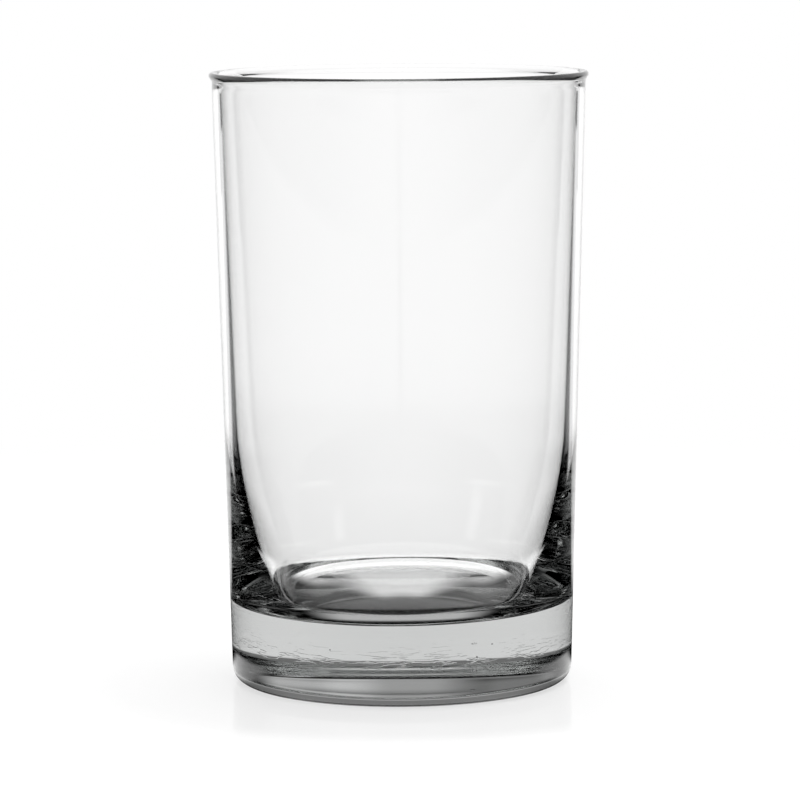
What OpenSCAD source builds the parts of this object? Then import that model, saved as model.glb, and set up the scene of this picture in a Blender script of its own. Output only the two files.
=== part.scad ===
// A straight-sided juice glass, pressed in one piece: a heavy solid foot,
// a gently tapered wall and a fire-polished bead round the mouth.
// The glass stands on the table plane with its axis on Z, mouth upward.
// Every surface is turned about that axis, so the section is the whole design.

/* [Outside] */
// Height of the glass from the table to the top of the rim
glass_h = 98; // [88:1:112]
// Outside radius where the straight taper would meet the table
foot_r = 27.36; // [26.8:0.02:28.4]
// Outside radius where the straight taper would meet the top of the rim
mouth_r = 29.85; // [29.3:0.05:30.6]
// Radius of the rounded heel between the wall and the foot
heel_r = 2.4; // [1:0.1:4]

/* [Underside] */
// Radius at which the ring that the glass stands on gives way to the hollow
stand_r = 22.5; // [18:0.5:23]
// Depth of the shallow hollow at the middle of the underside
hollow_d = 0.65; // [0.3:0.05:1.5]

/* [Rim] */
// Radius of the fire-polished bead round the mouth
bead_r = 1.12; // [1:0.02:1.4]
// How far the bead stands out beyond the outside of the wall
bead_proud = 0.42; // [0.2:0.02:0.6]

/* [Inside] */
// Thickness of the solid glass under the drink
base_t = 12.2; // [8:0.1:16]
// Radius of the rounded corner between the floor and the wall inside
corner_r = 4.45; // [3:0.05:6]
// Wall thickness where the straight wall would meet the top of the rim
mouth_wall = 1.34; // [1:0.02:1.7]
// Wall thickness at the waist, where the straight wall begins
waist_wall = 2; // [1.6:0.05:2.6]
// Height of the waist above the table
waist_z = 41; // [36:0.5:50]
// Radius of the slow inward curve from the waist down to the corner
sweep_r = 106; // [90:1:140]

/* [Hidden] */
$fn = 180;

// The cavity and the trimming shapes run this far past the glass
over = 2;

// Outside wall: its lean from upright, and its radius at any height
lean_out = atan((mouth_r - foot_r) / glass_h);
function outside_r(z) = foot_r + (mouth_r - foot_r) * z / glass_h;

// Heel: the centre of its rounding, which touches the wall and the table
heel_x = outside_r(heel_r) - heel_r / cos(lean_out);

// Hollow underneath: radius and centre of the ball that would press it
hollow_r = (stand_r * stand_r + hollow_d * hollow_d) / (2 * hollow_d);
hollow_z = hollow_d - hollow_r;

// Bead: its centre
bead_x = mouth_r + bead_proud - bead_r;
bead_z = glass_h - bead_r;

// Inside wall above the waist: its radius there and at the mouth, and its lean
waist_x = outside_r(waist_z) - waist_wall;
mouth_x = mouth_r - mouth_wall;
lean_in = atan((mouth_x - waist_x) / (glass_h - waist_z));
function inside_r(z) = waist_x + (mouth_x - waist_x) * (z - waist_z) / (glass_h - waist_z);

// Slow curve below the waist, which leaves the straight wall without a step
sweep_x = waist_x - sweep_r * cos(lean_in);
sweep_z = waist_z + sweep_r * sin(lean_in);

// Corner: its centre, and the slope at which it leaves for the slow curve
corner_z = base_t + corner_r;
corner_x = sweep_x + sqrt(pow(sweep_r - corner_r, 2) - pow(sweep_z - corner_z, 2));
lean_corner = atan2(sweep_z - corner_z, corner_x - sweep_x);

// What a rounded corner cuts away: outside the circle, from straight down to the given lean
module beyond_round(r, lean) {
    reach = 2 * r;
    difference() {
        polygon([[0, 0], [0, -reach], [reach, -reach], [reach, -reach * tan(lean)]]);
        circle(r = r);
    }
}

// Section of the outside, from the axis to the wall
module outer_section() {
    difference() {
        polygon([[0, 0], [foot_r, 0], [outside_r(bead_z), bead_z], [0, bead_z]]);
        // Rounded heel
        translate([heel_x, heel_r]) beyond_round(heel_r, lean_out);
        // Shallow hollow underneath
        translate([0, hollow_z]) circle(r = hollow_r, $fn = 4 * $fn);
    }
}

// Section of the space inside, from the floor to past the mouth
module inner_section() {
    mouth_z = glass_h + over;
    difference() {
        union() {
            // Straight wall above the waist
            polygon([[0, waist_z], [waist_x, waist_z], [inside_r(mouth_z), mouth_z], [0, mouth_z]]);
            // Slow curve from the waist to the floor, which runs up inside the straight wall
            intersection() {
                translate([sweep_x, sweep_z]) circle(r = sweep_r, $fn = 4 * $fn);
                translate([0, base_t]) square([waist_x + over, waist_z + over - base_t]);
            }
        }
        // Rounded corner
        translate([corner_x, corner_z]) beyond_round(corner_r, lean_corner);
    }
}

// The glass: wall and foot in one piece, with the bead melted onto the mouth
module tumbler() {
    color([0.85, 0.92, 0.9, 0.4])
    rotate_extrude()
    union() {
        difference() {
            outer_section();
            inner_section();
        }
        translate([bead_x, bead_z]) circle(r = bead_r);
    }
}

tumbler();
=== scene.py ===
import bpy
import math
from mathutils import Matrix, Vector, noise


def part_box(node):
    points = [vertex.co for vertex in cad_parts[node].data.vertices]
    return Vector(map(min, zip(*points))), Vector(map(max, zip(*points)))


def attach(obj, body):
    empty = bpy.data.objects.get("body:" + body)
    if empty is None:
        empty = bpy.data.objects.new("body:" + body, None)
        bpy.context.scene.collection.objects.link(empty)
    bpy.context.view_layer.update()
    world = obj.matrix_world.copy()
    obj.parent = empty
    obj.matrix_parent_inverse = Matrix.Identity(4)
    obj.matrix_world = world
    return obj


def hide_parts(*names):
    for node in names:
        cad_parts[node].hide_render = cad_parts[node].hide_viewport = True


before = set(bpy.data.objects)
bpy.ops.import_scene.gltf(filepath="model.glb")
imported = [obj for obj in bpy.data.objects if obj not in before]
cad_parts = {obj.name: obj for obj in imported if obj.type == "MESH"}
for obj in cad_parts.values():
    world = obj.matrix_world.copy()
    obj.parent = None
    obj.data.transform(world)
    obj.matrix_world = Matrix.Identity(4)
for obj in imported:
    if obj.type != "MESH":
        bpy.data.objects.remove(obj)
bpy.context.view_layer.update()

# Tumbler: the whole glass, one gob of clear soda-lime glass pressed in a mould.
# Its mouth is fire-polished to a bead, its foot is thick and solid, and the
# mould's cool side leaves faint chill wrinkles in the skin of the foot.
rim_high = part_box("tumbler")[1]
height = rim_high.z
rim_radius = rim_high.x
foot_radius = 0.02736
mouth_radius = 0.02985
heel_radius = 0.0024
stand_radius = 0.0225
hollow_depth = 0.00065
lip_crest = 0.02978
lip_fall_out = 0.00056
lip_fall_in = 0.0011
lip_inner = 0.02857
lip_foot_out = 0.09645
lip_foot_in = 0.0954
lip_pull = 0.35
waist_height = 0.041
waist_radius = 0.0264
inner_mouth_radius = 0.02851
sweep_radius = 0.106
corner_radius = 0.00445
floor_height = 0.0122
floor_lean = math.radians(0.4)
skin_row = 0.00028
wall_row = 0.0011
spokes = 320
hollow_steps = 16
heel_steps = 20
lip_steps = 12
crest_steps = 16
inner_lip_steps = 20
sweep_steps = 30
corner_steps = 20
same_point = 1e-6
wrinkle = 0.000003
wrinkle_wide = 0.009
wrinkle_tall = 0.0011
wrinkle_slice = 7.7
patch_wide = 0.012
patch_tall = 0.007
patch_slice = 3.1
patch_start = -0.1
patch_full = 0.4
skirt_foot = 0.0072
skirt_top = 0.0115
skirt_end = 0.0135

lean_out = math.atan((mouth_radius - foot_radius) / height)
lean_in = math.atan((inner_mouth_radius - waist_radius) / (height - waist_height))


def outside(z):
    return foot_radius + math.tan(lean_out) * z


def inside(z):
    return waist_radius + math.tan(lean_in) * (z - waist_height)


def arc(x, z, wide, tall, start, stop, steps):
    turns = [start + (stop - start) * i / steps for i in range(steps + 1)]
    return [(x + wide * math.cos(t), z + tall * math.sin(t)) for t in turns]


def line(a, b, row):
    steps = max(1, round(math.dist(a, b) / row))
    marks = range(steps + 1)
    return [(a[0] + (b[0] - a[0]) * i / steps, a[1] + (b[1] - a[1]) * i / steps) for i in marks]


def swell(a, b, pull_a, pull_b):
    # A soft S-shaped run from one point to the next, leaving and arriving along the two pulls
    near = (a[0] + pull_a[0], a[1] + pull_a[1])
    far = (b[0] - pull_b[0], b[1] - pull_b[1])
    points = []
    for i in range(lip_steps + 1):
        t = i / lip_steps
        share = ((1 - t) ** 3, 3 * t * (1 - t) ** 2, 3 * t * t * (1 - t), t ** 3)
        points.append(tuple(sum(w * p[k] for w, p in zip(share, (a, near, far, b))) for k in (0, 1)))
    return points


heel_x = outside(heel_radius) - heel_radius / math.cos(lean_out)
hollow_radius = (stand_radius ** 2 + hollow_depth ** 2) / (2 * hollow_depth)
hollow_turn = math.asin(stand_radius / hollow_radius)
sweep_x = waist_radius - sweep_radius * math.cos(lean_in)
sweep_z = waist_height + sweep_radius * math.sin(lean_in)
corner_z = floor_height + corner_radius
corner_x = sweep_x + math.sqrt((sweep_radius - corner_radius) ** 2 - (sweep_z - corner_z) ** 2)
corner_turn = math.atan2(corner_z - sweep_z, corner_x - sweep_x)
quarter = math.pi / 2

lip_rise_out = (height - lip_fall_out - lip_foot_out) * lip_pull
lip_rise_in = (height - lip_fall_in - lip_foot_in) * lip_pull
stretches = [
    arc(
        0, hollow_depth - hollow_radius, hollow_radius, hollow_radius,
        quarter, quarter - hollow_turn, hollow_steps,
    ),
    line((stand_radius, 0), (heel_x, 0), wall_row),
    arc(heel_x, heel_radius, heel_radius, heel_radius, -quarter, -lean_out, heel_steps),
    line((outside(heel_radius), heel_radius), (outside(waist_height), waist_height), skin_row),
    line((outside(waist_height), waist_height), (outside(lip_foot_out), lip_foot_out), wall_row),
    swell(
        (outside(lip_foot_out), lip_foot_out), (rim_radius, height - lip_fall_out),
        (math.tan(lean_out) * lip_rise_out, lip_rise_out), (0, lip_rise_out),
    ),
    arc(
        lip_crest, height - lip_fall_out, rim_radius - lip_crest, lip_fall_out,
        0, quarter, crest_steps,
    ),
    arc(
        lip_crest, height - lip_fall_in, lip_crest - lip_inner, lip_fall_in,
        quarter, math.pi, inner_lip_steps,
    ),
    swell(
        (lip_inner, height - lip_fall_in), (inside(lip_foot_in), lip_foot_in),
        (0, -lip_rise_in), (-math.tan(lean_in) * lip_rise_in, -lip_rise_in),
    ),
    line((inside(lip_foot_in), lip_foot_in), (waist_radius, waist_height), wall_row),
    arc(sweep_x, sweep_z, sweep_radius, sweep_radius, -lean_in, corner_turn, sweep_steps),
    arc(corner_x, corner_z, corner_radius, corner_radius, corner_turn, -quarter, corner_steps),
    line((corner_x, floor_height), (0, floor_height), wall_row),
]
outline = [stretches[0][0]]
for stretch in stretches:
    for point in stretch:
        if math.dist(point, outline[-1]) > same_point:
            outline.append(point)
brim = outline.index(max(outline, key=lambda point: point[1]))


def smooth(a, b, x):
    t = min(1.0, max(0.0, (x - a) / (b - a)))
    return t * t * (3 - 2 * t)


def chill(turn, z):
    # Height of the soft waves in the skin: long and level, gathered in patches near the foot
    across = foot_radius * turn
    patch = noise.noise(Vector((across / patch_wide, z / patch_tall, patch_slice)))
    patch = smooth(patch_start, patch_full, patch)
    patch = patch * smooth(skirt_foot / 2, skirt_foot, z) * (1 - smooth(skirt_top, skirt_end, z))
    return patch * wrinkle * noise.noise(Vector((across / wrinkle_wide, z / wrinkle_tall, wrinkle_slice)))


verts = [(0, 0, outline[0][1])]
faces = []
rings = outline[1:-1]
for row, (r, z) in enumerate(rings):
    for k in range(spokes):
        turn = 2 * math.pi * k / spokes
        radius = r
        lean = 0
        if row < brim:
            radius += chill(turn, z)
        else:
            lean = math.tan(floor_lean) * (1 - smooth(floor_height, waist_height, z))
        x = radius * math.cos(turn)
        verts.append((x, radius * math.sin(turn), z + lean * x))
verts.append((0, 0, outline[-1][1]))
last = len(verts) - 1
for k in range(spokes):
    n = (k + 1) % spokes
    faces.append((0, 1 + n, 1 + k))
    for row in range(len(rings) - 1):
        a = 1 + row * spokes
        b = a + spokes
        faces.append((a + k, a + n, b + n, b + k))
    a = 1 + (len(rings) - 1) * spokes
    faces.append((a + k, a + n, last))

# Seeds: a few tiny air bubbles caught in the foot as the gob was pressed, drawn
# out level with the mould wall. They are part of the same piece of glass.
seeds = [
    ((0.01387, -0.02278, 0.00952), 0.00016, 0.00009),
    ((0.01052, -0.01709, 0.00692), 0.00014, 0.00014),
    ((0.01355, -0.02287, 0.00596), 0.00034, 0.00011),
    ((0.01122, -0.02406, 0.00549), 0.00042, 0.00016),
    ((0.01743, -0.02059, 0.02021), 0.0002, 0.0002),
    ((-0.00776, -0.0006, 0.00636), 0.00014, 0.0001),
    ((-0.0121, 0.0142, 0.0078), 0.0002, 0.00013),
    ((0.0048, 0.0205, 0.0049), 0.00018, 0.00012),
]
seed_rings = 8
seed_spokes = 16
for (x, y, z), half_length, half_height in seeds:
    start = len(verts)
    facing = math.atan2(x, -y)
    verts.append((x, y, z - half_height))
    for i in range(1, seed_rings):
        rise = math.pi * i / seed_rings
        for k in range(seed_spokes):
            turn = 2 * math.pi * k / seed_spokes
            level = half_length * math.sin(rise) * math.cos(turn)
            inward = half_height * math.sin(rise) * math.sin(turn)
            verts.append((
                x + level * math.cos(facing) - inward * math.sin(facing),
                y + level * math.sin(facing) + inward * math.cos(facing),
                z - half_height * math.cos(rise),
            ))
    verts.append((x, y, z + half_height))
    crown = len(verts) - 1
    for k in range(seed_spokes):
        n = (k + 1) % seed_spokes
        faces.append((start, start + 1 + k, start + 1 + n))
        for i in range(seed_rings - 2):
            a = start + 1 + i * seed_spokes
            b = a + seed_spokes
            faces.append((a + k, b + k, b + n, a + n))
        a = start + 1 + (seed_rings - 2) * seed_spokes
        faces.append((a + k, crown, a + n))

mesh = bpy.data.meshes.new("tumbler_glass")
mesh.from_pydata(verts, [], faces)
mesh.shade_smooth()
mesh.update()
tumbler = bpy.data.objects.new("tumbler_glass", mesh)
bpy.context.collection.objects.link(tumbler)

# Glass: clear with the least grey in its depth. Its surface is bright and never
# quite true, and thin level creases from the cool mould gather round the foot.
crease_wide = 0.0055
crease_tall = 0.00075
crease_depth = 0.007
crease_thin = 0.045
crease_foot = skirt_foot * 0.85
gathered_start = 0.36
gathered_full = 0.54
wobble_size = 0.011
wobble_depth = 0.001
millimetre = 0.001
glass_index = 1.52
depth_grey = (0.26, 0.28, 0.27, 1)
depth_strength = 12.3
glass = bpy.data.materials.new("clear pressed glass")
glass.use_nodes = True
tree = glass.node_tree
nodes = tree.nodes
links = tree.links
shader = nodes["Principled BSDF"]
shader.inputs["Base Color"].default_value = (1, 1, 1, 1)
shader.inputs["Roughness"].default_value = 0
shader.inputs["IOR"].default_value = glass_index
shader.inputs["Transmission Weight"].default_value = 1
depths = nodes.new("ShaderNodeVolumeAbsorption")
depths.inputs["Color"].default_value = depth_grey
depths.inputs["Density"].default_value = depth_strength
links.new(depths.outputs["Volume"], nodes["Material Output"].inputs["Volume"])


def maths(tree, operation, a, b=None, c=None):
    node = tree.nodes.new("ShaderNodeMath")
    node.operation = operation
    for socket, value in zip(node.inputs, (a, b, c)):
        if value is None:
            continue
        if isinstance(value, (int, float)):
            socket.default_value = value
        else:
            tree.links.new(value, socket)
    return node.outputs[0]


def from_to(tree, value, start, stop):
    # Nothing up to the start, one from the stop on, an eased slope between them
    node = tree.nodes.new("ShaderNodeMapRange")
    node.interpolation_type = "SMOOTHSTEP"
    node.inputs["From Min"].default_value = start
    node.inputs["From Max"].default_value = stop
    tree.links.new(value, node.inputs["Value"])
    return node.outputs[0]


def cloud(tree, place, wide, tall, detail):
    stretch = tree.nodes.new("ShaderNodeVectorMath")
    stretch.operation = "MULTIPLY"
    stretch.inputs[1].default_value = (1 / wide, 1 / wide, 1 / tall)
    tree.links.new(place, stretch.inputs[0])
    node = tree.nodes.new("ShaderNodeTexNoise")
    node.inputs["Scale"].default_value = 1
    node.inputs["Detail"].default_value = detail
    tree.links.new(stretch.outputs[0], node.inputs["Vector"])
    return node.outputs["Fac"]


place = nodes.new("ShaderNodeTexCoord").outputs["Object"]
split = nodes.new("ShaderNodeSeparateXYZ")
links.new(place, split.inputs[0])
flat = nodes.new("ShaderNodeVectorMath")
flat.operation = "MULTIPLY"
flat.inputs[1].default_value = (1, 1, 0)
links.new(place, flat.inputs[0])
reach = nodes.new("ShaderNodeVectorMath")
reach.operation = "LENGTH"
links.new(flat.outputs[0], reach.inputs[0])
on_skin = from_to(tree, reach.outputs["Value"], foot_radius - heel_radius, foot_radius - heel_radius / 2)
low_down = maths(
    tree, "MULTIPLY",
    from_to(tree, split.outputs["Z"], skirt_end, skirt_top),
    from_to(tree, split.outputs["Z"], crease_foot, skirt_foot),
)
gathered = from_to(tree, cloud(tree, place, patch_wide, patch_tall, 1), gathered_start, gathered_full)
folds = maths(tree, "SUBTRACT", cloud(tree, place, crease_wide, crease_tall, 2), 0.5)
folds = maths(tree, "SUBTRACT", 1, from_to(tree, maths(tree, "ABSOLUTE", folds), 0, crease_thin))
creases = maths(tree, "MULTIPLY", maths(tree, "MULTIPLY", on_skin, low_down), folds)
creases = maths(tree, "MULTIPLY", creases, gathered)
wobble = maths(tree, "MULTIPLY", cloud(tree, place, wobble_size, wobble_size, 1), wobble_depth)
relief = nodes.new("ShaderNodeBump")
relief.inputs["Distance"].default_value = millimetre
links.new(maths(tree, "MULTIPLY_ADD", creases, crease_depth, wobble), relief.inputs["Height"])
links.new(relief.outputs["Normal"], shader.inputs["Normal"])
mesh.materials.append(glass)
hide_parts("tumbler")
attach(tumbler, "root")

# Room: what the glass shows of the studio round it. Looking straight through,
# it shows the white background. What it turns inside its walls and foot comes
# from a dark room with a few soft lights and cards.
background_white = 1.0
above_table = 0.25
fill = 0.35
horizon = 0.5
above_horizon = 5
# Each light is its bearing, half its width and its side fade, then its foot, its
# top and their fade, all in degrees, and its brightness
soft_overhead = (180, 100, 20, 40, 95, 7, 1.25)
overhead_front = (180, 40, 14, 46, 60, 5, 0.4)
behind_camera = (180, 34, 28, -5, 13, 4, 0.6)
strip_left = (-115, 5, 4, 4, 10, 1.5, 1.2)
strip_right = (124, 5, 4, 7, 11, 1.5, 1.3)
low_card_middle = (0, 14, 8, 6, 16, 3, 0.55)
low_card_right = (26, 16, 8, 8, 15, 3, 0.7)
low_card_left = (-35, 18, 8, 9, 18, 3, 0.3)
small_lamp_right = (35, 7, 4, 24, 40, 4, 0.9)
room_lights = (
    soft_overhead, overhead_front, behind_camera, strip_left,
    strip_right, low_card_middle, low_card_right, low_card_left, small_lamp_right,
)


def between(tree, share, a, b):
    node = tree.nodes.new("ShaderNodeMix")
    node.data_type = "FLOAT"
    for socket, value in zip((node.inputs[0], node.inputs[2], node.inputs[3]), (share, a, b)):
        if isinstance(value, (int, float)):
            socket.default_value = value
        else:
            tree.links.new(value, socket)
    return node.outputs[0]


def bearing(tree, x, y):
    # Degrees seen from above: none is straight behind the glass, and they grow to the right
    return maths(tree, "MULTIPLY", maths(tree, "ARCTAN2", x, y), 180 / math.pi)


def soft_patch(tree, turn, measure, light):
    # One soft-edged patch of light, so many degrees round and so far along the measure
    middle, half, side_fade, low, high, fade, brightness = light
    off = maths(tree, "WRAP", maths(tree, "SUBTRACT", turn, middle), 180, -180)
    across = from_to(tree, maths(tree, "ABSOLUTE", off), half + side_fade, half - side_fade)
    above = from_to(tree, measure, low - fade, low + fade)
    below = from_to(tree, measure, high + fade, high - fade)
    lit = maths(tree, "MULTIPLY", maths(tree, "MULTIPLY", above, below), brightness)
    return maths(tree, "MULTIPLY", across, lit)


def all_lights(tree, turn, measure, lights):
    found = soft_patch(tree, turn, measure, lights[0])
    for light in lights[1:]:
        found = maths(tree, "ADD", found, soft_patch(tree, turn, measure, light))
    return found


world = bpy.data.worlds.new("studio")
bpy.context.scene.world = world
world.use_nodes = True
tree = world.node_tree
nodes = tree.nodes
links = tree.links
nodes.clear()
split = nodes.new("ShaderNodeSeparateXYZ")
links.new(nodes.new("ShaderNodeTexCoord").outputs["Generated"], split.inputs[0])
turn = bearing(tree, split.outputs["X"], split.outputs["Y"])
climb = maths(tree, "MULTIPLY", maths(tree, "ARCSINE", split.outputs["Z"]), 180 / math.pi)
room = all_lights(tree, turn, climb, room_lights)
rays = nodes.new("ShaderNodeLightPath")
turned = maths(tree, "GREATER_THAN", rays.outputs["Glossy Depth"], 0.5)
straight = from_to(tree, climb, horizon, above_horizon)
room = between(tree, turned, between(tree, straight, background_white, above_table), room)
room = between(tree, rays.outputs["Is Transmission Ray"], background_white, room)
room = between(tree, rays.outputs["Is Diffuse Ray"], room, fill)
room = between(tree, rays.outputs["Is Camera Ray"], room, background_white)
background = nodes.new("ShaderNodeBackground")
background.inputs["Color"].default_value = (1, 1, 1, 1)
links.new(room, background.inputs["Strength"])
output = nodes.new("ShaderNodeOutputWorld")
links.new(background.outputs[0], output.inputs["Surface"])

# Card: a white card held close behind the glass, just above the height of the
# rim and out of the picture. The rim shows it; the foot can't see up to it.
card_wide = 0.06
card_low = 0.0985
card_high = 0.17
card_back = 0.08
paper_grain = 0.004
paper_shade = 0.06
paper_white = 0.97
card_mesh = bpy.data.meshes.new("white_card")
card_mesh.from_pydata([
    (-card_wide, card_back, card_low), (card_wide, card_back, card_low),
    (card_wide, card_back, card_high), (-card_wide, card_back, card_high),
], [], [(0, 1, 2, 3)])
card = bpy.data.objects.new("white_card", card_mesh)
bpy.context.collection.objects.link(card)
card.visible_camera = False
card.visible_diffuse = False
card.visible_shadow = False
card_paper = bpy.data.materials.new("white card")
card_paper.use_nodes = True
tree = card_paper.node_tree
nodes = tree.nodes
links = tree.links
nodes.clear()
paper = nodes.new("ShaderNodeEmission")
fibre = cloud(tree, nodes.new("ShaderNodeTexCoord").outputs["Object"], paper_grain, paper_grain, 3)
links.new(maths(tree, "MULTIPLY_ADD", fibre, paper_shade, paper_white), paper.inputs["Strength"])
output = nodes.new("ShaderNodeOutputMaterial")
links.new(paper.outputs[0], output.inputs["Surface"])
card_mesh.materials.append(card_paper)

# Table: a plain pale top with a faint gloss, on which the glass stands. Seen
# through the glass it shows painted light instead of being lit: a glow, white all round,
# with painted pools of light under the back of the foot and painted shade under the middle
# of the foot, where little light gets in; what the glass turns inside itself shows less
# of it, a dimmer painted copy that is dark next to the foot.
table_reach = 3.0
table_gap = 0.00002
table_sides = 96
table_grey = (0.3, 0.3, 0.3, 1)
table_white = 0.75
gloss_share = 0.13
gloss_near = 0.045
gloss_far = 0.056
tooth_size = 0.0007
tooth_rough = 0.06
fade_near = 0.12
fade_far = 0.3
# Each patch of painted light on the table is its bearing, half its width and its side fade, in degrees,
# then its near side, its far side and their fade, in metres, and its brightness; where no patch lies the
# table shows painted shade
foot_middle = (0, 38, 18, 0.006, 0.019, 0.003, 1.35)
foot_behind = (0, 54, 8, 0.019, 0.031, 0.003, 1.55)
foot_front = (180, 45, 20, 0.013, 0.031, 0.003, 0.6)
table_round = (0, 200, 1, 0.031, 9, 0.003, 1.06)
table_beside = (108, 54, 6, 0.031, 9, 0.003, 0.55)
heel_front = (180, 45, 15, 0.018, 0.030, 0.003, 0.55)
heel_beside = (88, 20, 8, 0.028, 0.043, 0.002, 1.3)
table_behind = (0, 35, 3, 0.1, 0.95, 0.025, 1.1)
far_behind = (0, 32, 2, 0.95, 9, 0.025, 1.1)
far_round = (112, 68, 4, 0.29, 9, 0.05, 0.45)
far_front = (180, 62, 32, 0.22, 9, 0.04, 0.12)
painted_through_patches = (foot_middle, foot_behind, foot_front, table_round, table_beside)
painted_turned_patches = (heel_front, heel_beside, table_behind, far_behind, far_round, far_front)
table_mesh = bpy.data.meshes.new("table_top")
rim = []
for k in range(table_sides):
    turn = 2 * math.pi * k / table_sides
    rim.append((table_reach * math.cos(turn), table_reach * math.sin(turn), -table_gap))
table_mesh.from_pydata(rim, [], [tuple(range(table_sides))])
table = bpy.data.objects.new("table_top", table_mesh)
bpy.context.collection.objects.link(table)

tabletop = bpy.data.materials.new("pale table")
tabletop.use_nodes = True
tree = tabletop.node_tree
nodes = tree.nodes
links = tree.links
nodes.clear()
place = nodes.new("ShaderNodeTexCoord").outputs["Object"]
split = nodes.new("ShaderNodeSeparateXYZ")
links.new(place, split.inputs[0])
turn = bearing(tree, split.outputs["X"], split.outputs["Y"])
reach = nodes.new("ShaderNodeVectorMath")
reach.operation = "LENGTH"
links.new(place, reach.inputs[0])
distance = reach.outputs["Value"]
aside = maths(tree, "ABSOLUTE", turn)
# Painted light and shade on the table near the foot: one set of patches for light straight through the
# glass, a dimmer set for light turned inside it
through = all_lights(tree, aside, distance, painted_through_patches)
painted_turned_light = all_lights(tree, aside, distance, painted_turned_patches)
rays = nodes.new("ShaderNodeLightPath")
turned = maths(tree, "GREATER_THAN", rays.outputs["Glossy Depth"], 0.5)
# Painted light: an emission on the table seen only by rays through or off the glass, standing in for how
# light and shade fall round the foot
painted_light = nodes.new("ShaderNodeEmission")
links.new(between(tree, turned, through, painted_turned_light), painted_light.inputs["Strength"])
chalk = nodes.new("ShaderNodeBsdfDiffuse")
chalk.inputs["Color"].default_value = table_grey
lift = nodes.new("ShaderNodeEmission")
lift.inputs["Strength"].default_value = table_white
paint = nodes.new("ShaderNodeAddShader")
links.new(chalk.outputs[0], paint.inputs[0])
links.new(lift.outputs[0], paint.inputs[1])
gloss = nodes.new("ShaderNodeBsdfGlossy")
tooth = maths(tree, "MULTIPLY", cloud(tree, place, tooth_size, tooth_size, 3), tooth_rough)
links.new(tooth, gloss.inputs["Roughness"])
polish = nodes.new("ShaderNodeMixShader")
glossy = maths(tree, "MULTIPLY", from_to(tree, distance, gloss_far, gloss_near), gloss_share)
links.new(glossy, polish.inputs[0])
links.new(paint.outputs[0], polish.inputs[1])
links.new(gloss.outputs[0], polish.inputs[2])
bright = nodes.new("ShaderNodeEmission")
fade = nodes.new("ShaderNodeMixShader")
links.new(from_to(tree, distance, fade_near, fade_far), fade.inputs[0])
links.new(polish.outputs[0], fade.inputs[1])
links.new(bright.outputs[0], fade.inputs[2])
choose = nodes.new("ShaderNodeMixShader")
seen_in_glass = maths(tree, "MAXIMUM", rays.outputs["Is Transmission Ray"], rays.outputs["Is Glossy Ray"])
links.new(seen_in_glass, choose.inputs[0])
links.new(fade.outputs[0], choose.inputs[1])
links.new(painted_light.outputs[0], choose.inputs[2])
output = nodes.new("ShaderNodeOutputMaterial")
links.new(choose.outputs[0], output.inputs["Surface"])
table_mesh.materials.append(tabletop)

# Lamp: one large soft box above the table. It lights the table and draws the
# glass's faint shadow; the glass itself shows the room above.
lamp_wide = 1.2
lamp_watts = 14
lamp_place = (0.15, 0.2, 1.1)
lamp_data = bpy.data.lights.new("soft_box", "AREA")
lamp_data.shape = "SQUARE"
lamp_data.size = lamp_wide
lamp_data.energy = lamp_watts
lamp = bpy.data.objects.new("soft_box", lamp_data)
bpy.context.collection.objects.link(lamp)
lamp.location = lamp_place
lamp.rotation_euler = (Vector((0, 0, 0)) - lamp.location).to_track_quat("-Z", "Y").to_euler()
lamp.visible_glossy = False
lamp.visible_transmission = False

# Camera: a long lens a little above the height of the rim, looking slightly
# down and rolled by a third of a degree, as in the photograph.
lens = 184.06
stand_off = 0.6532
eye_height = 0.12496
look_down = math.radians(6.962)
roll = math.radians(0.344)
sideways = -0.000088
camera_data = bpy.data.cameras.new("camera")
camera_data.lens = lens
camera_data.sensor_width = 36
camera_data.clip_end = 10
camera = bpy.data.objects.new("camera", camera_data)
bpy.context.collection.objects.link(camera)
aim = Matrix.Rotation(math.pi / 2 - look_down, 4, "X") @ Matrix.Rotation(-roll, 4, "Z")
camera.matrix_world = Matrix.Translation((sideways, -stand_off, eye_height)) @ aim
scene = bpy.context.scene
scene.camera = camera
scene.view_settings.view_transform = "Standard"
scene.cycles.max_bounces = 32
scene.cycles.glossy_bounces = 24
scene.cycles.transmission_bounces = 32
